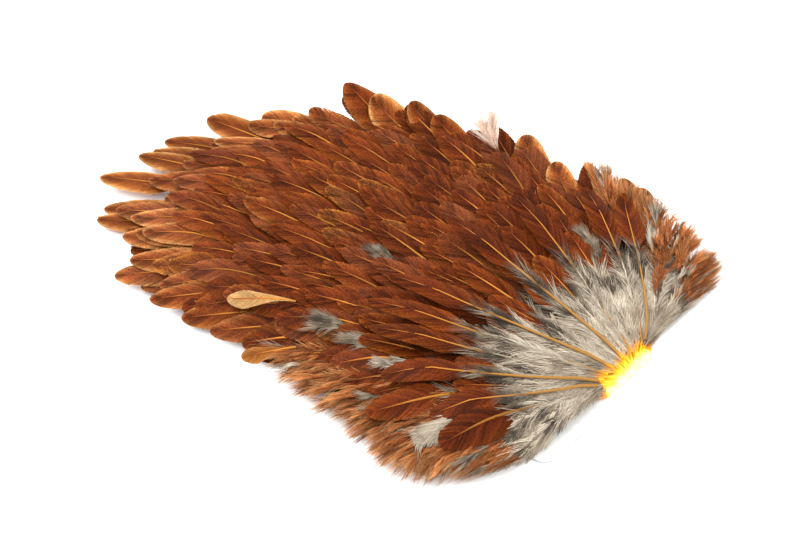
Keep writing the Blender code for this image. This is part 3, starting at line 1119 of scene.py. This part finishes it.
    # The hooklets on the barbs, too fine for the mesh
    hooklets = add_node(
        tree, "ShaderNodeTexNoise", {"Vector": place, "Scale": 1 / GRAIN, "Detail": 2}
    ).outputs["Fac"]
    grain = add_node(
        tree,
        "ShaderNodeMapRange",
        {
            "Value": hooklets,
            "From Min": 0.3,
            "From Max": 0.7,
            "To Min": 1 - 0.8 * contrast,
            "To Max": 1 + 0.8 * contrast,
        },
    ).outputs["Result"]
    tone = add_node(
        tree, "ShaderNodeMath", {0: tone, 1: grain}, operation="MULTIPLY"
    ).outputs[0]
    tinted = add_node(
        tree, "ShaderNodeVectorMath", {0: hue, "Scale": tone}, operation="SCALE"
    ).outputs["Vector"]
    satin = add_node(
        tree,
        "ShaderNodeBsdfPrincipled",
        {"Base Color": tinted, "Roughness": 0.5, "Specular IOR Level": 0.06},
    ).outputs[0]
    through = add_node(tree, "ShaderNodeBsdfTranslucent", {"Color": tinted}).outputs[0]
    link_surface(
        tree,
        add_node(
            tree, "ShaderNodeMixShader", {0: clearness, 1: satin, 2: through}
        ).outputs[0],
    )
    return material


saddle_vane = vane_material("hen_saddle_vane", SADDLE_BROWNS, 0.3)


def stained_and_highlit(tree, colour):
    """The colour under the stain of the fat, with a painted highlight that makes it palest at the
    cut.
    """
    share = behind_cut(tree, 0, STAIN_REACH)
    stain_and_highlight = add_node(tree, "ShaderNodeValToRGB", {"Fac": share}, FAT_STAINS_AND_HIGHLIGHT).outputs["Color"]
    clean = add_node(
        tree, "ShaderNodeMapRange", {"Value": share, "From Min": 0.5, "From Max": 1.0}
    ).outputs["Result"]
    return add_node(
        tree, "ShaderNodeMix", {0: clean, 6: stain_and_highlight, 7: colour}, data_type="RGBA"
    ).outputs[2]


# Shaft keratin: solid horn, polished by preening, amber where it is thick and brown where it thins.
shaft_keratin, tree = new_material("feather_shaft_keratin")
barb, feather = barb_and_feather(tree)
along = add_node(
    tree, "ShaderNodeMapRange", {"Value": barb[0], "From Max": SHAFT_REACH}
).outputs["Result"]
gold = add_node(tree, "ShaderNodeValToRGB", {"Fac": along}, SHAFT_GOLDS).outputs["Color"]
bright = add_node(
    tree,
    "ShaderNodeMapRange",
    {"Value": shuffled(tree, feather[0], 7.3), "To Min": 0.5, "To Max": 1.1},
).outputs["Result"]
golden = add_node(
    tree, "ShaderNodeVectorMath", {0: gold, "Scale": bright}, operation="SCALE"
).outputs["Vector"]
link_surface(
    tree,
    add_node(
        tree,
        "ShaderNodeBsdfPrincipled",
        {
            "Base Color": stained_and_highlit(tree, golden),
            "Roughness": 0.6,
            "Specular IOR Level": 0.05,
        },
    ).outputs[0],
)

# Down: loose plumes with no hooks, so matt and woolly, in streaks from near white to slate.
saddle_down, tree = new_material("saddle_down")
barb, feather = barb_and_feather(tree)
place = add_node(tree, "ShaderNodeTexCoord").outputs["Object"]
blotch = add_node(
    tree, "ShaderNodeTexNoise", {"Vector": place, "Scale": 1 / DOWN_BLOTCH, "Detail": 3}
).outputs["Fac"]
lighter = add_node(
    tree,
    "ShaderNodeMapRange",
    {"Value": blotch, "From Min": 0.35, "From Max": 0.6, "To Min": -0.22, "To Max": 0.15},
).outputs["Result"]
lightness = add_node(tree, "ShaderNodeMath", {0: barb[2], 1: lighter}, operation="ADD").outputs[0]
grey = add_node(tree, "ShaderNodeValToRGB", {"Fac": lightness}, DOWN_GREYS).outputs["Color"]
tone = add_node(
    tree, "ShaderNodeMapRange", {"Value": feather[0], "To Min": 0.65, "To Max": 1.05}
).outputs["Result"]
shaded = add_node(
    tree, "ShaderNodeVectorMath", {0: grey, "Scale": tone}, operation="SCALE"
).outputs["Vector"]
link_surface(
    tree,
    add_node(
        tree,
        "ShaderNodeBsdfPrincipled",
        {
            "Base Color": stained_and_highlit(tree, shaded),
            "Roughness": 0.85,
            "Specular IOR Level": 0.1,
        },
    ).outputs[0],
)

# Loose barbs: the same horn as a vane, come unhooked, so a matt hairy fringe that is sandy at its
# ends.
loose_barbs, tree = new_material("unhooked_barbs")
barb, feather = barb_and_feather(tree)
sand = add_node(tree, "ShaderNodeValToRGB", {"Fac": barb[1]}, LOOSE_SANDS).outputs["Color"]
barb_tone = add_node(
    tree, "ShaderNodeMapRange", {"Value": barb[2], "To Min": 0.5, "To Max": 1.3}
).outputs["Result"]
feather_tone = add_node(
    tree, "ShaderNodeMapRange", {"Value": feather[0], "To Min": 0.6, "To Max": 1.35}
).outputs["Result"]
tone = add_node(
    tree, "ShaderNodeMath", {0: barb_tone, 1: feather_tone}, operation="MULTIPLY"
).outputs[0]
shaded = add_node(
    tree, "ShaderNodeVectorMath", {0: sand, "Scale": tone}, operation="SCALE"
).outputs["Vector"]
link_surface(
    tree,
    add_node(
        tree,
        "ShaderNodeBsdfPrincipled",
        {"Base Color": shaded, "Roughness": 0.7, "Specular IOR Level": 0.1},
    ).outputs[0],
)
FEATHER_FINISHES = [saddle_vane, shaft_keratin, saddle_down, loose_barbs]

rounded = [template(f"rounded_{i}", build_rounded) for i in range(6)]
blunts = [template(f"blunt_{i}", build_blunt) for i in range(4)]
frayed = [template(f"frayed_{i}", build_frayed) for i in range(6)]
downies = [template(f"downy_{i}", build_downy) for i in range(4)]
lances = [template(f"lance_{i}", build_lance) for i in range(4)]
luck = random.Random("saddle feathers")


def outermost(u, tip, run=16 * MM):
    """1 for a feather whose tip is at the outline, 0 for one a run or more inside it."""
    return smoothstep(1 - (line_length(u) - tip) / run)


def shagginess(u, tip):
    """How likely a feather is to have lost its hooks, on both flanks of the patch."""
    left = smoothstep((-0.42 - u) / 0.2) * 0.15
    left += smoothstep((-0.42 - u) / 0.03) * 0.85 * smoothstep(2 * outermost(u, tip))
    right = smoothstep((u - 0.58) / 0.3) * (0.25 + 0.6 * outermost(u, tip))
    return max(left, right, smoothstep((-0.78 - u) / 0.1), smoothstep((u - 0.86) / 0.06))


def far_edge(u, tip):
    """1 for feathers that stand up at the edge away from the cut, where the skin has curled."""
    return smoothstep((u - 0.44) / 0.06) * smoothstep((0.92 - u) / 0.15) * outermost(u, tip)


def kind_of_feather(u, tip):
    """Rounded on the back, shaggy along both flanks, blunt at the far edge, and lance shaped
    towards the tail."""
    if luck.random() < shagginess(u, tip):
        downy = smoothstep((abs(u) - 0.8) / 0.1) * (0.8 if u < 0 else 0.35)
        return luck.choice(downies if luck.random() < downy else frayed)
    if luck.random() < far_edge(u, tip):
        return luck.choice(blunts)
    tailward = smoothstep((tip - 105 * MM) / (40 * MM)) * smoothstep((0.42 - u) / 0.2)
    if luck.random() < tailward:
        return luck.choice(lances)
    return luck.choice(rounded)


def lay_course(bm, course, places):
    """Lays a course's feathers at these u, and then its outermost ones."""
    for u in places:
        length = line_length(u)
        # The far edge is ragged and falls short of its ring. Left of its curl it lies flat.
        length -= FAR_EDGE_SHORT * MM * smoothstep((u - 0.31) / 0.06) * smoothstep((0.9 - u) / 0.1)
        flat = smoothstep((u - 0.24) / 0.06) * smoothstep((0.48 - u) / 0.05)
        last = course + 1 > courses_along(u)
        tip = length if last else course_tip(course)
        tip += luck.uniform(-TIP_SPREAD, TIP_SPREAD) * MM
        if last and u < 0.4:
            tip -= luck.uniform(*LAST_RING_SHORT) * MM * (1 - smoothstep((-0.4 - u) / 0.1))
        tip = min(tip, length + 1 * MM)
        for notch, deepest in NOTCHES:
            opened = max(0.0, abs(u - notch) - NOTCH_HALF) * NOTCH_OPENS
            tip = min(tip, (deepest + opened) * MM)
        laced = luck.random() < LACED_SHARE
        tail = smoothstep((u + 0.24) / 0.16) * smoothstep((0.5 - u) / 0.15)
        # Paler feathers at the tail's outline, partly painted glow of the light behind
        pale_and_glowing = 0.85 * tail * outermost(u, tip, 32 * MM) * luck.uniform(0, 1) ** 1.4
        lay_feather(
            bm,
            kind_of_feather(u, tip),
            u,
            course,
            tip,
            width=luck.uniform(0.8, 1.1),
            length=luck.uniform(0.93, 1.05),
            yaw=math.radians(luck.gauss(0, 6) * (1 - 0.6 * flat) + 14 * far_edge(u, tip)),
            roll=0.06 + luck.uniform(-0.07, 0.07),
            droop=luck.uniform(0.8, 1.4) + 3 * flat * outermost(u, tip),
            curl=far_edge(u, tip) * luck.uniform(1, 4),
            tags=(luck.random(), luck.uniform(0.3, 0.65) if laced else 0.0, pale_and_glowing),
        )
    for place, u, tip, width, turned, curl, pale_and_glowing in OUTERMOST:
        if place == course:
            lay_feather(
                bm,
                luck.choice(blunts if u > 0.4 else lances),
                u,
                course,
                tip * MM,
                width=width,
                yaw=math.radians(turned),
                curl=curl,
                tags=(luck.uniform(0.2, 0.9), 0.0, pale_and_glowing),
            )


# The lowest layer lies on the hide and the card, and closes the gaps between the outer feathers.
bm = bmesh.new()
for short in UNDER_RINGS:
    for i in range(UNDER_FEATHERS):
        u = UNDER_FROM + (UNDER_TO - UNDER_FROM) * (i + luck.random()) / UNDER_FEATHERS
        tail = smoothstep((u + 0.4) / 0.15) * smoothstep((0.5 - u) / 0.15)
        lay_feather(
            bm,
            luck.choice(frayed if u < -0.4 else rounded),
            u,
            max(0.0, courses_along(u) - 0.2),
            line_length(u) - (short + 8 * tail + luck.uniform(0, 5)) * MM,
            width=luck.uniform(0.9, 1.2),
            yaw=math.radians(luck.gauss(0, 6)),
            tags=(luck.uniform(0, 0.5), 0.0, 0.4 * tail),
        )
add_piece("under_feathers", bm, FEATHER_FINISHES, "saddle_feathers")

for course in range(1, COURSES - 1):
    bm = bmesh.new()
    lay_course(bm, course + 0.5, course_places(course + 0.5, FEATHER_PITCH, 0.5))
    lay_course(bm, course, course_places(course, FEATHER_PITCH))
    add_piece(
        f"saddle_course_{course:02d}",
        bm,
        FEATHER_FINISHES,
        "saddle_feathers",
        [f"feather_course_{course:02d}"],
    )

# ---- Tail feathers ----
# The longest feathers, at the end of the fan, lance shaped and thin. Their margins are cream, made
# paler partly as painted glow, and light comes through them. They stand in the end of the hide and
# run past it.

# How far each tip is past its line's end (mm), and how far each is turned (degrees): some lie
# close together, with deep gaps between
TAIL_TIPS = ((-1, -1), (-3, -6), (4, 0), (-2, 7), (-1, 1), (3, 0), (0, 6))
TAIL_CLEARNESS, TAIL_CONTRAST = 0.45, 0.25

tail_vane = vane_material("hen_tail_vane", SADDLE_BROWNS, TAIL_CLEARNESS, TAIL_CONTRAST)
for i, u in enumerate(course_places(COURSES - 1, FEATHER_PITCH)):
    bm = bmesh.new()
    further, turned = TAIL_TIPS[i]
    lay_feather(
        bm,
        lances[i % len(lances)],
        u,
        COURSES - 1,
        line_length(u) + further * MM,
        width=luck.uniform(0.95, 1.15),
        yaw=math.radians(turned),
        roll=0.05,
        tags=(luck.uniform(0, 0.6), 0.0, luck.uniform(0.5, 1.0)),
    )
    add_piece(
        f"tail_lance_{i + 1:02d}",
        bm,
        [tail_vane, shaft_keratin, saddle_down],
        "tail_feathers",
        [f"tail_feather_{i + 1:02d}"],
    )

# ---- Front feathers ----
# The feathers next to the cut. Their amber quills are bare at the foot and yellow with fat, then
# fluffed with long grey-white down, and only their ends are brown.

FRONT_PITCH = 14.5 * MM
FRONT_LENGTH, LONG_QUILL_LENGTH = 50, 70
# How far apart in u the three feathers of a place are
BESIDE = 0.07
# Past this u the corner feathers are all down at the left, and have a brown end at the right
CORNER_FROM = 0.9
# The longest quills, which lie on top: u, tip distance (mm), degrees turned, and whether the foot
# stands clear of the down
LONG_QUILLS = (
    (-0.71, 54, -1, True),
    (-0.56, 67, -2, True),
    (-0.43, 72, 0, False),
    (-0.30, 76, 0, False),
    (-0.125, 75, -1, True),
    (0.19, 76, 0, True),
    (0.44, 72, 0, False),
    (0.76, 68, 0, False),
    (0.85, 64, 1, True),
)


def build_grey(bm, rng):
    """A feather of the corners next to the cut, all down."""
    length = DOWNY_LENGTH
    add_shaft(bm, length, 1, 0.36, SHAFT_TIP, 0.3)
    add_down(bm, rng, length, (3, 36), 80)
    add_slate(bm, rng, length, (14, 38), 30)


def build_front(bm, rng):
    """A feather next to the cut, with down over its foot and a brown end."""
    length = FRONT_LENGTH
    add_vane(bm, rng, length, 5.4, vane=20)
    add_vane(
        bm,
        rng,
        length,
        7.5,
        vane=40,
        spacing=0.9,
        run=8,
        barb_half=0.5,
        loose=0.3,
        bare=24,
        finish=DOWN,
        tones=(0.45, 0.75),
    )
    add_shaft(bm, length, 1, 0.5, SHAFT_TIP, 0.3)
    add_down(bm, rng, length, (6, 24), 80)
    add_slate(bm, rng, length, (17, 30), 18)


def build_long_front(bm, rng):
    """A long quill whose foot stands clear of the down."""
    length = LONG_QUILL_LENGTH
    add_vane(bm, rng, length, 5.2, vane=30)
    add_shaft(bm, length, 1.5, 0.62, SHAFT_TIP, 2.2)
    add_down(bm, rng, length, (8, 26), 44, rise=0.6)
    add_slate(bm, rng, length, (26, 36), 20)


def build_sunk_front(bm, rng):
    """A long quill whose foot lies in the down."""
    length = LONG_QUILL_LENGTH
    add_vane(bm, rng, length, 5.2, vane=32)
    add_shaft(bm, length, 1.5, 0.58, SHAFT_TIP, 0.3)
    add_down(bm, rng, length, (6, 28), 60)
    add_slate(bm, rng, length, (22, 35), 20)


greys = [template(f"grey_{i}", build_grey) for i in range(3)]
fronts = [template(f"front_{i}", build_front) for i in range(5)]
long_fronts = [template(f"long_front_{i}", build_long_front) for i in range(4)]
sunk_fronts = [template(f"sunk_front_{i}", build_sunk_front) for i in range(3)]
front_places = course_places(0, FRONT_PITCH)
for i, u in enumerate(front_places):
    bm = bmesh.new()
    for beside in (-1, 0, 1):
        tip = course_tip(0) + (luck.uniform(-5, 2) - 4 * abs(beside)) * MM
        line = u + beside * BESIDE
        # Which feather it is, and how many mm it ends short of the outline
        made, short = fronts, 4
        if abs(line) > CORNER_FROM:
            made, short = (greys, 11) if line < 0 else (downies, 0)
        lay_feather(
            bm,
            luck.choice(made),
            line,
            -0.15 * abs(beside),
            min(tip, line_length(u) - short * MM),
            yaw=math.radians(luck.gauss(0, 4)),
            tags=(luck.uniform(0.4, 1), 0.0, 0.0),
        )
    for long_u, tip, turned, clear in LONG_QUILLS:
        if min(front_places, key=lambda other: abs(other - long_u)) == u:
            lay_feather(
                bm,
                luck.choice(long_fronts if clear else sunk_fronts),
                long_u,
                0,
                tip * MM,
                length=tip / LONG_QUILL_LENGTH,
                yaw=math.radians(turned),
                width=0.9,
                droop=luck.uniform(1.8, 2.6),
                raised=luck.uniform(0.5, 0.9) * MM,
                tags=(luck.choice((0.26, 0.39, 0.53)), 0.0, 0.0),
            )
    add_piece(
        f"front_hackle_{i + 1:02d}",
        bm,
        FEATHER_FINISHES,
        "front_feathers",
        [f"front_feather_{i + 1:02d}"],
    )

# ---- Loose down and fringe ----
# Plumes that stick out between the feathers, and the hairy fringe of unhooked barbs along both
# flanks. They grow among the feathers and lie on them.

# Clumps of grey plumes: u and distance (mm), their size, and whether they are pale
PLUMES = (
    (-0.020, 87, 0.7, False),
    (-0.375, 90, 0.9, False),
    (-0.530, 67, 0.6, True),
    (-0.620, 72, 0.5, False),
    (-0.765, 59, 1.6, True),
    (-0.450, 81, 0.7, False),
    (0.640, 47, 0.7, False),
    (0.925, 48, 0.8, True),
)
PLUMES_IN_CLUMP = 4
# Stretches of the outline that are fringed: name, u from, u to, tufts
FRINGES = (("left_fringe", -1.1, -0.44, 190), ("right_fringe", 0.8, 1.08, 170))
# Single feathers among the fringe: course, u, tip (mm), tone
AMONG_FRINGE = ((-0.4, -0.835, 55, 0.0), (0.8, -0.66, 72, 0.6))
# The u of single long hairs that stick out of the fringe
HAIRS = (-1.1, -1.08, -1.06, -1.04, -1.02, -1.0, -0.97, -0.93, -0.86, 0.95, 0.98, 1.02)
TUFT_LENGTH = 14


def build_plume(bm, rng, tones=(0.05, 0.4)):
    length = TUFT_LENGTH
    add_locks(
        bm, rng, length, (0, 7), 18, 8, 8, angles=(1, 15), wave=0.2, splay=4, rise=0.3, tones=tones
    )
    # Its root is sunk among the feathers.
    turned = Matrix.Rotation(math.radians(8), 3, "X")
    bmesh.ops.rotate(bm, verts=bm.verts, cent=(0, 7, 0), matrix=turned)


def build_pale_plume(bm, rng):
    build_plume(bm, rng, (0.3, 0.9))


def build_tuft(bm, rng):
    add_locks(
        bm,
        rng,
        TUFT_LENGTH,
        (0, 6),
        7,
        9,
        9,
        half=0.055,
        angles=(1, 13),
        wave=0.15,
        bend=8,
        splay=5,
        rise=0.7,
        finish=LOOSE,
    )


def build_grey_tuft(bm, rng):
    add_locks(bm, rng, 13, (0, 5), 7, 8, 9, half=0.06, angles=(1, 16), rise=0.9, tones=(0.1, 0.6))


def build_hair(bm, rng):
    length = TUFT_LENGTH
    add_locks(bm, rng, length, (0, 2), 3, 1, 13, half=0.05, angles=(2, 24), wave=1.3, tones=(0, 0.3))


plumes = [template(f"plume_{i}", build_plume) for i in range(3)]
pale_plumes = [template(f"pale_plume_{i}", build_pale_plume) for i in range(3)]
tufts = [template(f"tuft_{i}", build_tuft) for i in range(6)]
grey_tufts = [template(f"grey_tuft_{i}", build_grey_tuft) for i in range(3)]
hairs = [template(f"hair_{i}", build_hair) for i in range(3)]
bm = bmesh.new()
for u, distance, size, pale in PLUMES:
    for _ in range(PLUMES_IN_CLUMP):
        lay_feather(
            bm,
            luck.choice(pale_plumes if pale else plumes),
            u + luck.uniform(-0.02, 0.02),
            max(0.0, (distance * MM - course_tip(0)) / COURSE_STEP) - 0.05,
            (distance + 5 * size + luck.uniform(-3, 3)) * MM,
            width=size,
            length=size,
            yaw=math.radians(luck.gauss(0, 6)),
            raised=0.3 * size * MM,
            tags=(luck.uniform(0.0, 0.5), 0.0, 0.0),
        )
for u in HAIRS:
    lay_feather(
        bm,
        luck.choice(hairs),
        u,
        max(0.0, courses_along(u) - 0.6),
        line_length(u) + luck.uniform(2, 4) * MM,
        yaw=math.radians(luck.gauss(0, 20)),
        tags=(0.3, 0.0, 0.0),
    )
add_piece("loose_plumes", bm, FEATHER_FINISHES, "saddle_feathers")

for name, first, last, count in FRINGES:
    bm = bmesh.new()
    for course, u, tip, tone in AMONG_FRINGE:
        if first < u < last:
            made = luck.choice(rounded)
            lay_feather(bm, made, u, course, tip * MM, width=1.1, tags=(tone, 0.0, 0.0))
    for i in range(count):
        u = first + (last - first) * (i + luck.random()) / count
        back_from_edge = luck.uniform(0, 1) ** 1.4 * 11
        corner = smoothstep((abs(u) - 0.85) / 0.15) * (0.22 if u < 0 else 0.15)
        lay_feather(
            bm,
            luck.choice(grey_tufts if luck.random() < 0.03 + corner else tufts),
            u,
            max(0.0, courses_along(u) - luck.uniform(0.4, 1.6)),
            line_length(u) + (3 + 2 * smoothstep((u - 0.9) / 0.08) - back_from_edge) * MM,
            yaw=math.radians(luck.gauss(0, 9)),
            roll=luck.uniform(-0.1, 0.1),
            droop=luck.uniform(0, 2),
            raised=smoothstep((u - 0.85) / 0.1) * luck.uniform(0, 3) * MM,
            tags=(luck.uniform(0.0 if u < 0 else 0.35, 1.0), 0.0, 0.0),
        )
    add_piece(name, bm, FEATHER_FINISHES, "saddle_feathers")

# ---- Stray feathers ----
# Three small feathers of another colour that lie loose on the others: a cream one and a buff one
# near the left edge, and a whitish wisp of unhooked barbs at the far edge.

PALE_CREAMS = ((0.0, "B0824C"), (0.4, "B98E5A"), (1.0, "C4A06E"))
BUFF_TANS = ((0.0, "82481C"), (0.4, "985E2A"), (1.0, "B47C44"))
WHITE_PINKS = ((0.0, "B88460"), (0.3, "E8CCB8"), (0.65, "FAF0E8"), (1.0, "FCF6F2"))
STRAY_LENGTH = 24


def build_stray(bm, rng):
    """A small feather with no down, widest near its tip."""
    add_vane(
        bm, rng, STRAY_LENGTH, 2.4, power=2.2, taper_from=0.7, vane=21, run=6, narrows=12
    )
    add_shaft(bm, STRAY_LENGTH, 3, 0.2, 0.05)


def build_wisp(bm, rng):
    """The end of a feather with no hooks, so that its barbs stand apart."""
    add_locks(
        bm,
        rng,
        STRAY_LENGTH,
        (7, 13),
        44,
        8,
        11,
        half=0.06,
        angles=(0, 16),
        wave=0.15,
        bend=8,
        splay=4,
        scatter=1,
        rise=0.8,
        finish=VANE,
    )


# Piece, CAD node and slot, then the finish, its colours and how clear it is, then the shape, its
# u and tip distance (mm), and how it lies there
STRAYS = (
    (
        ("cream_stray", "pale_feather", "pale_feathers"),
        ("cream_vane", PALE_CREAMS, 0.3),
        (build_stray, -0.31, 119, {"width": 1.05, "raised": 1.6 * MM}),
    ),
    (
        ("buff_stray", "buff_feather", "buff_feathers"),
        ("buff_vane", BUFF_TANS, 0.3),
        (build_stray, -0.443, 111, {"width": 1.2, "length": 0.8, "raised": 0.8 * MM, "yaw": -0.15}),
    ),
    (
        ("whitish_stray", "white_feather", "pale_feathers"),
        ("whitish_vane", WHITE_PINKS, 0.6),
        (build_wisp, 0.59, 118, {"width": 2.0, "raised": 1.2 * MM, "curl": 6, "yaw": 0.27}),
    ),
)
STRAY_CONTRAST = 0.25

for (name, node, slot), (finish, colours, clearness), (build, u, tip, lie) in STRAYS:
    bm = bmesh.new()
    uppermost = max(0.0, (tip * MM - course_tip(0)) / COURSE_STEP) - 1.0
    made = template(name, build)
    lay_feather(
        bm, made, u, uppermost, tip * MM, droop=0.0, roll=0.08, tags=(0.4, 0.0, 0.0), **lie
    )
    material = vane_material(finish, colours, clearness, STRAY_CONTRAST)
    add_piece(name, bm, [material, shaft_keratin], slot, [node])
